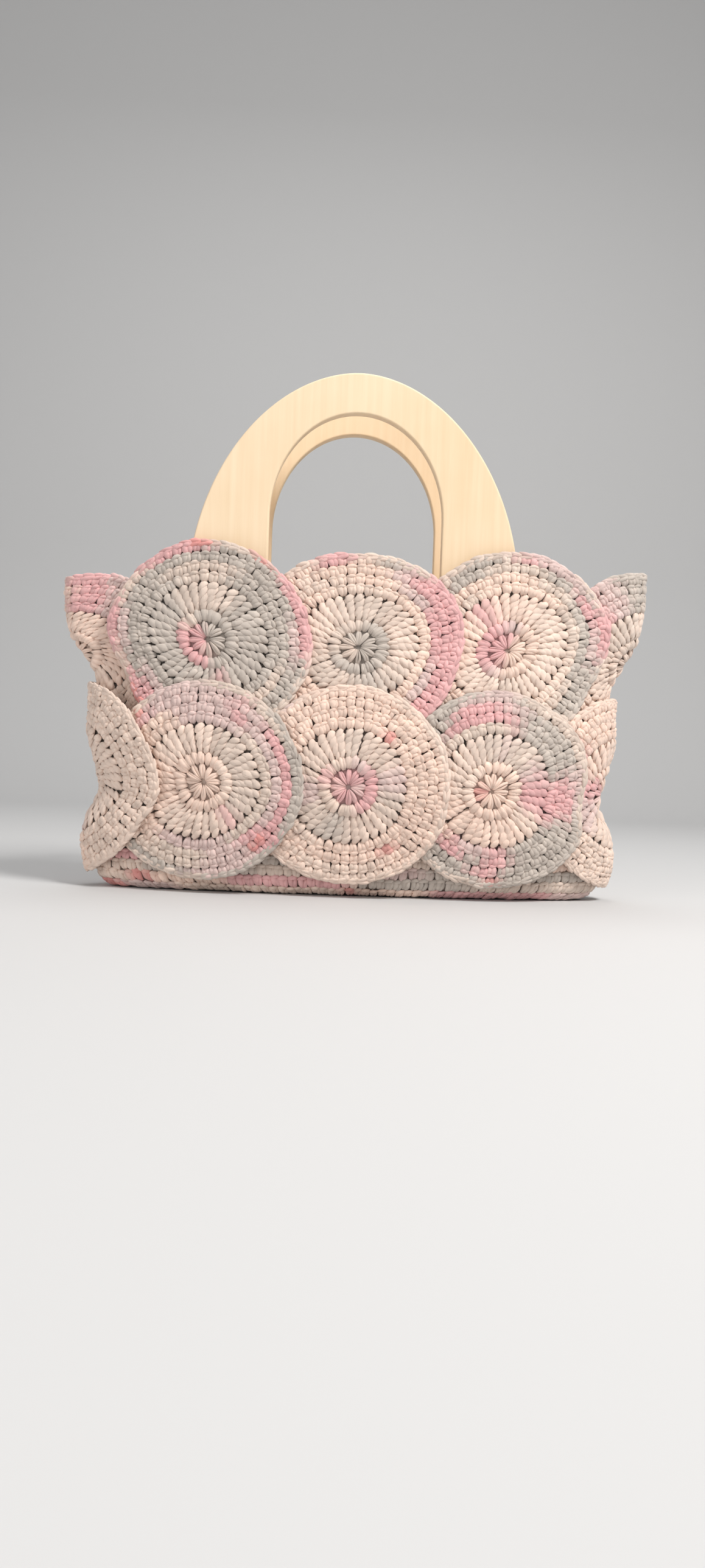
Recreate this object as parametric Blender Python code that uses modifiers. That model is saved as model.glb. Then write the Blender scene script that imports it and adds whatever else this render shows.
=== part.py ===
"""Handbag of overlapping crocheted medallions with two wooden arch handles.

Metres, +Z up. The front of the bag faces -Y, and the origin is on the floor at the middle of the base.
The wall is a closed tube of two rows of medallions. Round the bag each medallion lies over the next one,
and the lower row lies over the upper row, as scales do.
"""

import math

import bmesh
import bpy
import numpy as np
from mathutils import Vector

# Crocheted wall
MEDALLION_HALF_WIDTH = 0.068
MEDALLION_HALF_HEIGHT = 0.064
MEDALLION_SPACING = 0.100  # between the centres of neighbours, round the bag
ROW_SPACING = 0.093  # between the centres of the two rows
LOWER_ROW_SHIFT = -0.004  # of the lower row round the bag
MEDALLIONS_ROUND = 8
LOWEST_EDGE = 0.010  # height of the lowest point of the lower row
WALL = 0.0042  # thickness of the crocheted fabric
LAYER_GAP = 0.0008  # clear space between two layers that overlap

# Slack in the mouth
MIDDLE_SAG = 0.006  # how far the middle scallop hangs below its neighbours
LEFT_EAR_DROOP = 0.024
RIGHT_EAR_DROOP = 0.007
SLACK_REACH = 0.046  # how far round the bag each droop spreads
SLACK_START = 0.55  # share of the body height where the droops begin

# Base
BASE_RIM_HEIGHT = 0.038
BASE_INSET = 0.0092  # from the wall's middle surface in to the rim's outer face
BASE_ROUNDING = 0.009

# Handles
HANDLE_HALF_WIDTH = 0.110
ARCH_HEIGHT = 0.150  # from the crown down to the widest level
FOOT_HEIGHT = 0.020  # below the widest level
FOOT_CORNER = 0.014
ARCH_FULLNESS = 1.9  # exponent of the arch across its width; 2 is an ellipse
GRIP_HALF_WIDTH = 0.0572
CROWN_WIDTH = 0.0265  # of the wood at the crown
GRIP_ARCH_HEIGHT = 0.069
BAR_HEIGHT = 0.020
GRIP_CORNER = 0.016
HANDLE_THICKNESS = 0.008
HANDLE_EDGE_RADIUS = 0.0011
HANDLE_SHOWN = 0.121  # from the crown down to the middle scallop
HANDLE_SHIFT = -0.004  # of the handles from the middle of the body
SEAT_GAP = 0.0004
SEAT_SAMPLES = 28  # of a circle, each way, where a handle's seat is measured

# Sizes that follow from those above
PERIMETER = MEDALLIONS_ROUND * MEDALLION_SPACING
QUARTER = PERIMETER / 4
BODY_HEIGHT = LOWEST_EDGE + 2 * MEDALLION_HALF_HEIGHT + ROW_SPACING
LOWER_ROW = LOWEST_EDGE + MEDALLION_HALF_HEIGHT
UPPER_ROW = LOWER_ROW + ROW_SPACING
LEAN_ROUND = (WALL + LAYER_GAP) / MEDALLION_SPACING  # outward rise of a medallion per metre to its right
LEAN_UP = (WALL + LAYER_GAP) / ROW_SPACING  # and per metre upwards
CROWN_LEVEL = BODY_HEIGHT - MIDDLE_SAG + HANDLE_SHOWN

# The body's outline. Height is a share of BODY_HEIGHT, half_width and half_depth are shares of QUARTER.
SECTION_COLUMNS = ("height", "half_width", "half_depth")
SECTIONS = (
    (0.00, 0.885, 0.185),
    (0.05, 0.908, 0.200),
    (0.13, 0.920, 0.212),
    (0.20, 0.902, 0.226),
    (0.28, 0.855, 0.240),
    (0.37, 0.868, 0.244),
    (0.46, 0.888, 0.240),
    (0.55, 0.882, 0.230),
    (0.63, 0.882, 0.217),
    (0.71, 0.918, 0.202),
    (0.79, 0.958, 0.188),
    (0.88, 0.972, 0.178),
    (1.00, 0.970, 0.172),
)
FRONT_FLATNESS = 2.6  # exponent of the sections across the width; 2 is an ellipse
SECTION_SAMPLES = 960

FRONT_PIECES = (("left", -1), ("middle", 0), ("right", 1))
HALF_TURN = MEDALLIONS_ROUND // 2
CELLS = 10  # of a medallion's grid, each way
FOLD_CELLS = 16  # across a medallion that folds round the side
FOLD_CROWDING = 1.7  # above 1 crowds its columns towards the fold

# In the upper row the circle at the left fold is tucked under both of its neighbours
TUCKED = -2  # its place, counted in circles from the middle of the front
TUCK_START = 0.004  # to the right of its middle, where its front part starts to lie deeper
TUCK_END = MEDALLION_SPACING - MEDALLION_HALF_WIDTH


def clear_scene():
    for old in list(bpy.data.objects):
        bpy.data.objects.remove(old, do_unlink=True)


def new_collection(name):
    made = bpy.data.collections.new(name)
    bpy.context.scene.collection.children.link(made)
    return made


def new_material(name, colour, roughness):
    made = bpy.data.materials.new(name)
    made.use_nodes = True
    shader = made.node_tree.nodes["Principled BSDF"]
    shader.inputs["Base Color"].default_value = (*colour, 1)
    shader.inputs["Roughness"].default_value = roughness
    shader.inputs["Metallic"].default_value = 0
    return made


def table_value(column, height):
    """A column of SECTIONS at a height, as a smooth curve through its rows."""
    rows = np.array(SECTIONS)
    heights = rows[:, 0]
    values = rows[:, SECTION_COLUMNS.index(column)]
    slopes = np.gradient(values, heights)
    share = min(max(height / BODY_HEIGHT, heights[0]), heights[-1])
    below = min(int(np.searchsorted(heights, share, side="right")) - 1, len(heights) - 2)
    span = heights[below + 1] - heights[below]
    t = (share - heights[below]) / span
    return (
        values[below] * (1 + 2 * t) * (1 - t) ** 2
        + slopes[below] * span * t * (1 - t) ** 2
        + values[below + 1] * t**2 * (3 - 2 * t)
        - slopes[below + 1] * span * t**2 * (1 - t)
    )


def section_line(half_width, half_depth):
    """The closed section as points, from the middle of the front round by the right side."""
    turn = np.linspace(0, 2 * math.pi, SECTION_SAMPLES + 1)
    across = np.sin(turn)
    x = half_width * np.sign(across) * np.abs(across) ** (2 / FRONT_FLATNESS)
    y = -half_depth * np.cos(turn)
    return x, y


def section_point(share, half_width, half_depth):
    """The point at a share of the way round a section."""
    x, y = section_line(half_width, half_depth)
    reached = np.concatenate([[0], np.cumsum(np.hypot(np.diff(x), np.diff(y)))])
    wanted = (share % 1) * reached[-1]
    return np.interp(wanted, reached, x), np.interp(wanted, reached, y)


def slack(along, height):
    """How far the mouth hangs at a place: the middles of both faces sag and the ears droop."""
    start = SLACK_START * BODY_HEIGHT
    rise = min(max((height - start) / (BODY_HEIGHT - start), 0), 1)
    rise = rise * rise * (3 - 2 * rise)
    depths = (MIDDLE_SAG, RIGHT_EAR_DROOP, MIDDLE_SAG, LEFT_EAR_DROOP)
    total = 0
    for quarter, depth in enumerate(depths):
        away = (along - quarter * QUARTER + PERIMETER / 2) % PERIMETER - PERIMETER / 2
        total += depth * math.exp(-((away / SLACK_REACH) ** 2))
    return total * rise


def wall_point(along, height):
    """The wall's middle surface, at a length round the bag from the middle of the front and at a height."""
    half_width = table_value("half_width", height) * QUARTER
    half_depth = table_value("half_depth", height) * QUARTER
    x, y = section_point(along / PERIMETER, half_width, half_depth)
    return Vector((x, y, height - slack(along, height)))


def wall_normal(along, height):
    step = MEDALLION_HALF_HEIGHT / 100
    right = wall_point(along + step, height) - wall_point(along - step, height)
    up = wall_point(along, height + step) - wall_point(along, height - step)
    return right.cross(up).normalized()


def lean(column, row, right, up):
    """How far a circle lies out from the wall at an offset from its middle, so that overlaps stay clear."""
    sideways = right
    if row == UPPER_ROW and column == TUCKED:
        tuck = min(max((right - TUCK_START) / (TUCK_END - TUCK_START), 0), 1)
        sideways -= 2 * MEDALLION_SPACING * tuck * tuck * (3 - 2 * tuck)
    return float(LEAN_ROUND * sideways + LEAN_UP * up)


def medallion_point(column, row, right, up):
    """The middle surface of the circle at a place and row, at an offset from its middle."""
    shift = LOWER_ROW_SHIFT if row == LOWER_ROW else 0
    along, height = column * MEDALLION_SPACING + shift + right, row + up
    return wall_point(along, height) + wall_normal(along, height) * lean(column, row, right, up)


def add_medallion(name, column, row, material, collection):
    """A round crocheted piece that follows the wall. Those at the sides fold round it."""
    folded = abs(column) % HALF_TURN == HALF_TURN / 2
    mesh = bpy.data.meshes.new(name)
    form = bmesh.new()
    bmesh.ops.create_grid(form, x_segments=FOLD_CELLS if folded else CELLS, y_segments=CELLS, size=1)
    for vertex in form.verts:
        across, upward = vertex.co.x, vertex.co.y
        if folded:
            across = math.copysign(abs(across) ** FOLD_CROWDING, across)
        right = MEDALLION_HALF_WIDTH * across * math.sqrt(1 - upward**2 / 2)
        up = MEDALLION_HALF_HEIGHT * upward * math.sqrt(1 - across**2 / 2)
        vertex.co = medallion_point(column, row, right, up)
    form.to_mesh(mesh)
    form.free()
    made = bpy.data.objects.new(name, mesh)
    collection.objects.link(made)
    mesh.materials.append(material)
    thicken = made.modifiers.new("thickness", "SOLIDIFY")
    thicken.thickness = WALL
    thicken.offset = 0
    mesh.shade_smooth()
    return made


def add_medallions(material, collection):
    for row_name, row in (("lower", LOWER_ROW), ("upper", UPPER_ROW)):
        for place, column in FRONT_PIECES:
            add_medallion(f"medallion_front_{row_name}_{place}", column, row, material, collection)
            add_medallion(f"medallion_back_{row_name}_{place}", column + HALF_TURN, row, material, collection)
        add_medallion(f"medallion_side_{row_name}_right", HALF_TURN // 2, row, material, collection)
        add_medallion(f"medallion_side_{row_name}_left", -(HALF_TURN // 2), row, material, collection)


def add_base(material, collection):
    """The oblong base with its rim, which stands inside the lower edges of the lower row."""
    inset = BASE_INSET + WALL / 2
    rounding = BASE_ROUNDING
    floor_level = WALL / 2
    profile = []  # inset from the wall's middle surface, and height
    for step in range(4):
        bend = step / 3 * math.pi / 2
        profile.append((inset + rounding * (1 - math.sin(bend)), floor_level + rounding * (1 - math.cos(bend))))
    profile.append((inset, (floor_level + rounding + BASE_RIM_HEIGHT) / 2))
    profile.append((inset, BASE_RIM_HEIGHT))
    sides = 44
    mesh = bpy.data.meshes.new("base")
    form = bmesh.new()
    rings = []
    for inward, height in profile:
        half_width = table_value("half_width", height) * QUARTER - inward
        half_depth = table_value("half_depth", height) * QUARTER - inward
        points = [section_point(side / sides, half_width, half_depth) for side in range(sides)]
        rings.append([form.verts.new((x, y, height)) for x, y in points])
    for lower, upper in zip(rings, rings[1:]):
        for side in range(sides):
            after = (side + 1) % sides
            form.faces.new((lower[side], lower[after], upper[after], upper[side]))
    form.faces.new(list(reversed(rings[0])))
    form.to_mesh(mesh)
    form.free()
    made = bpy.data.objects.new("base", mesh)
    collection.objects.link(made)
    mesh.materials.append(material)
    thicken = made.modifiers.new("thickness", "SOLIDIFY")
    thicken.thickness = WALL
    thicken.offset = 0
    return made


def arch_outline():
    """The handle's outer outline, across and below its crown, as a closed loop from the left foot."""
    points = []
    steps = 40
    for step in range(steps + 1):
        turn = math.pi * step / steps
        across = -math.cos(turn)
        side = math.copysign(abs(across) ** (2 / ARCH_FULLNESS), across)
        points.append((HANDLE_HALF_WIDTH * side, ARCH_HEIGHT * (math.sin(turn) - 1)))
    foot = -(ARCH_HEIGHT + FOOT_HEIGHT)
    points += corner(HANDLE_HALF_WIDTH - FOOT_CORNER, foot + FOOT_CORNER, FOOT_CORNER, 0)
    points += corner(FOOT_CORNER - HANDLE_HALF_WIDTH, foot + FOOT_CORNER, FOOT_CORNER, 1)
    return points


def grip_outline():
    """The outline of the handle's opening, in the same frame."""
    points = []
    steps = 30
    widest = -(CROWN_WIDTH + GRIP_ARCH_HEIGHT)
    for step in range(steps + 1):
        turn = math.pi * step / steps
        points.append((-GRIP_HALF_WIDTH * math.cos(turn), widest + GRIP_ARCH_HEIGHT * math.sin(turn)))
    bottom = BAR_HEIGHT - ARCH_HEIGHT - FOOT_HEIGHT
    points += corner(GRIP_HALF_WIDTH - GRIP_CORNER, bottom + GRIP_CORNER, GRIP_CORNER, 0)
    points += corner(GRIP_CORNER - GRIP_HALF_WIDTH, bottom + GRIP_CORNER, GRIP_CORNER, 1)
    return points


def corner(x, z, radius, quarter):
    """A quarter circle, clockwise, at the lower right for quarter 0 and the lower left for quarter 1."""
    steps = 4
    turns = [-math.pi / 2 * (quarter + step / steps) for step in range(steps + 1)]
    return [(x + radius * math.cos(turn), z + radius * math.sin(turn)) for turn in turns]


def add_outline(curve, points):
    line = curve.splines.new("POLY")
    line.points.add(len(points) - 1)
    for point, (x, z) in zip(line.points, points):
        point.co = (x, z, 0, 1)
    line.use_cyclic_u = True


def add_plate(name, outlines, material, collection):
    """A flat wooden piece cut to closed outlines, with rounded edges. Its face lies in the local XY plane."""
    curve = bpy.data.curves.new(name, "CURVE")
    curve.dimensions = "2D"
    curve.fill_mode = "BOTH"
    curve.extrude = HANDLE_THICKNESS / 2 - HANDLE_EDGE_RADIUS
    curve.bevel_depth = HANDLE_EDGE_RADIUS
    curve.bevel_resolution = 1
    curve.offset = -HANDLE_EDGE_RADIUS
    for points in outlines:
        add_outline(curve, points)
    made = bpy.data.objects.new(name, curve)
    collection.objects.link(made)
    curve.materials.append(material)
    return made


def seat_depth(side):
    """How far from the middle plane the upper row stays on one face, where the handle lies against it."""
    foot_level = CROWN_LEVEL - ARCH_HEIGHT - FOOT_HEIGHT
    turn = HALF_TURN if side > 0 else 0
    nearest = math.inf
    for place, column in FRONT_PIECES:
        for across in np.linspace(-1, 1, SEAT_SAMPLES):
            reach = MEDALLION_HALF_HEIGHT * math.sqrt(1 - across**2)
            for up in np.linspace(-reach, reach, SEAT_SAMPLES):
                point = medallion_point(column + turn, UPPER_ROW, MEDALLION_HALF_WIDTH * across, up)
                if abs(point.x - HANDLE_SHIFT) <= HANDLE_HALF_WIDTH and point.z >= foot_level:
                    nearest = min(nearest, side * point.y)
    return nearest - WALL / 2


def add_handles(material, collection):
    """Two equal handles, each with its bar against the inside of its wall."""
    outlines = (arch_outline(), grip_outline())
    for name, side in (("front", -1), ("back", 1)):
        handle = add_plate(f"handle_{name}", outlines, material, collection)
        face = seat_depth(side) - SEAT_GAP
        handle.rotation_euler = (math.pi / 2, 0, 0)
        handle.location = (HANDLE_SHIFT, side * (face - HANDLE_THICKNESS / 2), CROWN_LEVEL)


def main():
    clear_scene()
    bag = new_collection("crochet_handbag")
    yarn = new_material("variegated_yarn", (0.78, 0.62, 0.54), 0.9)
    wood = new_material("pale_wood", (0.86, 0.70, 0.48), 0.55)
    add_medallions(yarn, bag)
    add_base(yarn, bag)
    add_handles(wood, bag)


main()
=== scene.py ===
"""Looks of a crocheted handbag of overlapping medallions with two flat wooden handles.

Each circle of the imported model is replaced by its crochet: every stitch is made of plump lobes of yarn,
laid out in rounds and bent with the wall. Metres, +Z up, front towards -Y.
"""

import math

import bpy
import numpy as np
from mathutils import Matrix, Vector


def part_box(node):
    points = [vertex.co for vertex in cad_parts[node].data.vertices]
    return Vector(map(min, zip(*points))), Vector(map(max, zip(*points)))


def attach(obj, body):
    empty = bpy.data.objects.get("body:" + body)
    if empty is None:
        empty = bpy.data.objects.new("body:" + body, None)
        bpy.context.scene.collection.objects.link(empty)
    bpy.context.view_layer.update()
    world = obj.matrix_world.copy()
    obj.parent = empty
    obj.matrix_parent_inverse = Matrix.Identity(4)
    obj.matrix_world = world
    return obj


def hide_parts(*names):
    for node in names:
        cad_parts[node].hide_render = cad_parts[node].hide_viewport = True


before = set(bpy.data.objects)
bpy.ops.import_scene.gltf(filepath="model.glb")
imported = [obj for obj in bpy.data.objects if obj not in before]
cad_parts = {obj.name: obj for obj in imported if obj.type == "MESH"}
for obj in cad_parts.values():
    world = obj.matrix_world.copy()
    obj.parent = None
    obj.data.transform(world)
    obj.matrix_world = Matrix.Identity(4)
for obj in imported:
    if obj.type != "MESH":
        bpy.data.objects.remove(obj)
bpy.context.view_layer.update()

MM = 0.001

# The wall, with the sizes of the model
HALF_WIDTH = 0.068
HALF_HEIGHT = 0.064
SPACING = 0.100
ROW_SPACING = 0.093
LOWER_ROW_SHIFT = -0.004
CIRCLES_ROUND = 8
HALF_TURN = CIRCLES_ROUND // 2
LOWEST_EDGE = 0.010
WALL = 0.0042
LAYER_GAP = 0.0008
MIDDLE_SAG = 0.006
LEFT_EAR_DROOP = 0.024
RIGHT_EAR_DROOP = 0.007
SLACK_REACH = 0.046
SLACK_START = 0.55
BASE_INSET = 0.0092
BASE_ROUNDING = 0.009
PERIMETER = CIRCLES_ROUND * SPACING
QUARTER = PERIMETER / 4
BODY_HEIGHT = LOWEST_EDGE + 2 * HALF_HEIGHT + ROW_SPACING
LOWER_ROW = LOWEST_EDGE + HALF_HEIGHT
UPPER_ROW = LOWER_ROW + ROW_SPACING
LEAN_ROUND = (WALL + LAYER_GAP) / SPACING
LEAN_UP = (WALL + LAYER_GAP) / ROW_SPACING
TUCKED = -2
TUCK_START = 0.004
TUCK_END = SPACING - HALF_WIDTH
FRONT_FLATNESS = 2.6
SECTION_STEPS = 961

SECTION_COLUMNS = ("height", "half_width", "half_depth")
SECTIONS = (
    (0.00, 0.885, 0.185),
    (0.05, 0.908, 0.200),
    (0.13, 0.920, 0.212),
    (0.20, 0.902, 0.226),
    (0.28, 0.855, 0.240),
    (0.37, 0.868, 0.244),
    (0.46, 0.888, 0.240),
    (0.55, 0.882, 0.230),
    (0.63, 0.882, 0.217),
    (0.71, 0.918, 0.202),
    (0.79, 0.958, 0.188),
    (0.88, 0.972, 0.178),
    (1.00, 0.970, 0.172),
)

# Yarn colours, as seen in soft light
YARN = {
    "peach": (0.955, 0.845, 0.780),
    "cream": (0.930, 0.840, 0.780),
    "beige": (0.885, 0.810, 0.755),
    "grey": (0.790, 0.745, 0.705),
    "mauve": (0.875, 0.775, 0.750),
    "pink": (0.910, 0.710, 0.705),
    "coral": (0.895, 0.610, 0.585),
}

# The rounds of a circle of 66 mm: name, stitch, count, and inner and outer radius in millimetres.
ROUNDS = (
    ("hub", "spoke", 12, 1.2, 12.3),
    ("ring", "short", 24, 12.0, 21.0),
    ("rays", "tall", 36, 20.6, 39.2),
    ("first", "single", 48, 39.0, 45.8),
    ("second", "single", 54, 45.8, 52.5),
    ("third", "single", 60, 52.5, 59.2),
    ("fourth", "single", 66, 59.2, 65.4),
    ("rim", "chain", 66, 65.4, 67.4),
)
NOMINAL = 66.0

# Colour runs of the circles that the photograph shows: where each run starts, in degrees anticlockwise from
# the right, for each round. A run lasts until the next one starts.
CHARTS = {
    "medallion_front_upper_left": {
        "hub": ((-70, "grey"), (100, "pink"), (255, "beige")),
        "ring": ((-60, "grey"), (110, "beige"), (150, "pink"), (262, "grey")),
        "rays": ((-65, "grey"), (60, "beige"), (125, "grey"), (278, "pink"), (288, "grey")),
        "first": ((-65, "grey"), (70, "beige"), (110, "grey")),
        "second": (
            (-60, "beige"), (-20, "grey"), (75, "beige"), (120, "grey"), (200, "mauve"), (235, "grey"),
        ),
        "third": (
            (-60, "grey"), (-15, "mauve"), (20, "grey"), (150, "mauve"), (185, "grey"), (205, "pink"),
            (235, "grey"),
        ),
        "fourth": (
            (-60, "grey"), (-10, "pink"), (40, "grey"), (85, "pink"), (126, "beige"), (150, "pink"),
            (184, "cream"), (204, "pink"), (240, "grey"),
        ),
        "rim": (
            (-60, "beige"), (-8, "pink"), (50, "beige"), (56, "coral"), (62, "beige"), (86, "coral"),
            (100, "pink"), (128, "cream"), (150, "pink"), (186, "cream"), (206, "coral"), (240, "beige"),
        ),
    },
    "medallion_front_upper_middle": {
        "hub": ((0, "grey"), (120, "beige"), (250, "grey")),
        "ring": ((0, "grey"), (80, "beige"), (200, "grey")),
        "rays": (
            (-30, "cream"), (55, "beige"), (120, "cream"), (190, "beige"), (270, "grey"), (300, "beige"),
        ),
        "first": ((-50, "peach"), (60, "cream"), (120, "peach")),
        "second": (
            (-50, "mauve"), (-10, "pink"), (30, "mauve"), (60, "peach"), (100, "cream"), (150, "peach"),
            (250, "beige"),
        ),
        "third": (
            (-55, "pink"), (55, "mauve"), (70, "peach"), (120, "cream"), (150, "peach"), (250, "beige"),
        ),
        "fourth": (
            (-60, "pink"), (52, "mauve"), (62, "grey"), (80, "peach"), (96, "pink"), (112, "peach"),
            (200, "cream"), (260, "beige"),
        ),
        "rim": (
            (-60, "pink"), (48, "beige"), (76, "cream"), (94, "pink"), (112, "cream"), (200, "beige"),
            (280, "mauve"),
        ),
    },
    "medallion_front_upper_right": {
        "hub": ((-80, "peach"), (80, "pink"), (250, "peach")),
        "ring": ((-80, "peach"), (70, "mauve"), (110, "pink"), (230, "mauve"), (260, "peach")),
        "rays": (
            (-60, "cream"), (70, "peach"), (118, "pink"), (132, "peach"), (200, "cream"), (260, "beige"),
        ),
        "first": ((-60, "cream"), (5, "beige"), (50, "peach"), (130, "beige"), (160, "peach")),
        "second": (
            (-55, "beige"), (-20, "grey"), (48, "beige"), (75, "peach"), (140, "cream"), (250, "beige"),
        ),
        "third": (
            (-60, "grey"), (0, "mauve"), (22, "pink"), (44, "grey"), (72, "beige"), (110, "grey"),
            (150, "beige"),
        ),
        "fourth": (
            (-45, "grey"), (-8, "mauve"), (0, "pink"), (34, "grey"), (42, "mauve"), (76, "pink"),
            (86, "beige"), (100, "grey"), (134, "beige"),
        ),
        "rim": (
            (-45, "grey"), (-10, "beige"), (0, "pink"), (32, "beige"), (43, "coral"), (48, "mauve"),
            (78, "pink"), (86, "beige"), (130, "cream"),
        ),
    },
    "medallion_front_lower_left": {
        "hub": ((0, "peach"),),
        "ring": ((-40, "cream"), (60, "peach")),
        "rays": (
            (-60, "cream"), (-53, "pink"), (-46, "beige"), (60, "cream"), (140, "peach"), (220, "cream"),
        ),
        "first": ((-60, "beige"), (45, "mauve"), (110, "peach"), (240, "mauve")),
        "second": (
            (-55, "pink"), (-35, "mauve"), (50, "pink"), (66, "mauve"), (120, "peach"), (230, "beige"),
            (280, "mauve"),
        ),
        "third": (
            (-55, "coral"), (-40, "pink"), (42, "mauve"), (62, "pink"), (70, "mauve"), (128, "pink"),
            (140, "cream"), (230, "beige"), (270, "mauve"),
        ),
        "fourth": (
            (-70, "mauve"), (-50, "pink"), (-25, "grey"), (30, "beige"), (60, "pink"), (72, "mauve"),
            (128, "coral"), (138, "cream"), (220, "grey"), (260, "mauve"),
        ),
        "rim": (
            (-70, "grey"), (50, "beige"), (90, "mauve"), (130, "cream"), (220, "beige"), (270, "grey"),
        ),
    },
    "medallion_front_lower_middle": {
        "hub": ((-60, "mauve"), (20, "pink"), (170, "cream"), (200, "pink")),
        "ring": (
            (-62, "pink"), (44, "mauve"), (80, "cream"), (150, "pink"), (180, "cream"), (260, "beige"),
        ),
        "rays": (
            (-40, "beige"), (0, "mauve"), (26, "cream"), (70, "beige"), (100, "cream"), (170, "mauve"),
            (200, "beige"), (240, "grey"), (270, "cream"),
        ),
        "first": ((-50, "peach"), (48, "coral"), (53, "peach"), (200, "cream"), (250, "peach")),
        "second": ((0, "peach"), (302, "coral"), (307, "peach")),
        "third": ((0, "peach"), (230, "cream"), (290, "peach")),
        "fourth": (
            (0, "peach"), (92, "coral"), (95, "peach"), (100, "coral"), (103, "peach"), (240, "cream"),
            (300, "peach"),
        ),
        "rim": ((0, "cream"), (60, "peach"), (120, "cream"), (126, "mauve"), (132, "cream")),
    },
    "medallion_front_lower_right": {
        "hub": ((0, "peach"), (168, "coral"), (192, "peach")),
        "ring": ((0, "peach"), (120, "cream"), (200, "peach")),
        "rays": (
            (-30, "pink"), (12, "mauve"), (30, "beige"), (76, "mauve"), (84, "beige"), (110, "cream"),
            (200, "peach"), (300, "cream"),
        ),
        "first": (
            (-25, "pink"), (8, "grey"), (66, "mauve"), (76, "pink"), (84, "beige"), (150, "peach"),
            (225, "pink"), (240, "mauve"), (262, "pink"), (284, "grey"),
        ),
        "second": (
            (-22, "pink"), (12, "grey"), (20, "coral"), (24, "grey"), (72, "pink"), (132, "grey"),
            (170, "cream"), (222, "pink"), (244, "grey"), (256, "pink"), (278, "grey"),
        ),
        "third": (
            (-20, "pink"), (2, "mauve"), (14, "grey"), (70, "mauve"), (84, "pink"), (128, "grey"),
            (170, "cream"), (216, "grey"), (254, "pink"), (272, "grey"),
        ),
        "fourth": (
            (-28, "grey"), (-12, "mauve"), (14, "beige"), (70, "grey"), (80, "mauve"), (118, "grey"),
            (160, "beige"), (205, "grey"), (262, "coral"), (268, "grey"),
        ),
        "rim": ((-28, "beige"), (70, "mauve"), (100, "grey"), (160, "beige"), (260, "grey")),
    },
    "medallion_side_upper_left": {
        "inside": ((0, "peach"), (120, "cream"), (300, "peach")),
        "outside": ((-30, "peach"), (38, "mauve"), (56, "pink"), (84, "peach"), (250, "cream")),
    },
    "medallion_side_lower_left": {
        "inside": ((0, "cream"), (90, "peach"), (200, "mauve"), (280, "cream")),
        "outside": (
            (-75, "cream"), (95, "peach"), (150, "pink"), (188, "mauve"), (215, "coral"), (222, "pink"),
            (255, "peach"),
        ),
    },
    "medallion_side_upper_right": {
        "inside": ((0, "peach"), (100, "beige"), (160, "cream"), (250, "peach")),
        "outside": (
            (0, "peach"), (60, "beige"), (88, "grey"), (116, "mauve"), (134, "pink"), (158, "peach"),
            (170, "cream"),
        ),
    },
    "medallion_side_lower_right": {
        "inside": ((0, "cream"), (100, "peach"), (150, "pink"), (190, "mauve"), (230, "cream")),
        "outside": (
            (0, "cream"), (80, "peach"), (142, "pink"), (176, "mauve"), (200, "cream"), (214, "coral"),
            (218, "cream"),
        ),
    },
}

# The rounds from this radius on are the outside of a chart that names only its inside and outside.
OUTER_ROUNDS = 39.0

# The colours that follow each other along the yarn, with the length of each run in stitches
YARN_RUNS = (
    ("peach", 42), ("cream", 17), ("coral", 2), ("peach", 9), ("pink", 15), ("mauve", 8), ("grey", 34),
    ("beige", 16), ("pink", 9), ("coral", 3), ("mauve", 7), ("cream", 21), ("grey", 13), ("beige", 24),
)


def linear(colour):
    """Linear light of an sRGB colour."""
    value = np.asarray(colour, float)
    return np.where(value <= 0.04045, value / 12.92, ((value + 0.055) / 1.055) ** 2.4)


# Wall


def section_value(column, heights):
    """A column of SECTIONS at heights, as a smooth curve through its rows."""
    rows = np.array(SECTIONS)
    knots = rows[:, 0]
    values = rows[:, SECTION_COLUMNS.index(column)]
    slopes = np.gradient(values, knots)
    share = np.clip(np.asarray(heights) / BODY_HEIGHT, knots[0], knots[-1])
    below = np.clip(np.searchsorted(knots, share, side="right") - 1, 0, len(knots) - 2)
    span = knots[below + 1] - knots[below]
    t = (share - knots[below]) / span
    return (
        values[below] * (1 + 2 * t) * (1 - t) ** 2
        + slopes[below] * span * t * (1 - t) ** 2
        + values[below + 1] * t**2 * (3 - 2 * t)
        - slopes[below + 1] * span * t**2 * (1 - t)
    )


def section_points(shares, half_width, half_depth):
    """Points at shares of the way round a section, from the middle of the front by the right side."""
    turn = np.linspace(0, 2 * math.pi, SECTION_STEPS)
    across = np.sin(turn)
    x = half_width * np.sign(across) * np.abs(across) ** (2 / FRONT_FLATNESS)
    y = -half_depth * np.cos(turn)
    reached = np.concatenate([[0], np.cumsum(np.hypot(np.diff(x), np.diff(y)))])
    wanted = (shares % 1) * reached[-1]
    return np.interp(wanted, reached, x), np.interp(wanted, reached, y)


def slack(along, height):
    """How far the mouth hangs at a place: the middles of both faces sag and the ears droop."""
    start = SLACK_START * BODY_HEIGHT
    rise = np.clip((height - start) / (BODY_HEIGHT - start), 0, 1)
    rise = rise * rise * (3 - 2 * rise)
    total = 0
    for quarter, depth in enumerate((MIDDLE_SAG, RIGHT_EAR_DROOP, MIDDLE_SAG, LEFT_EAR_DROOP)):
        away = (along - quarter * QUARTER + PERIMETER / 2) % PERIMETER - PERIMETER / 2
        total = total + depth * np.exp(-((away / SLACK_REACH) ** 2))
    return total * rise


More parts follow.
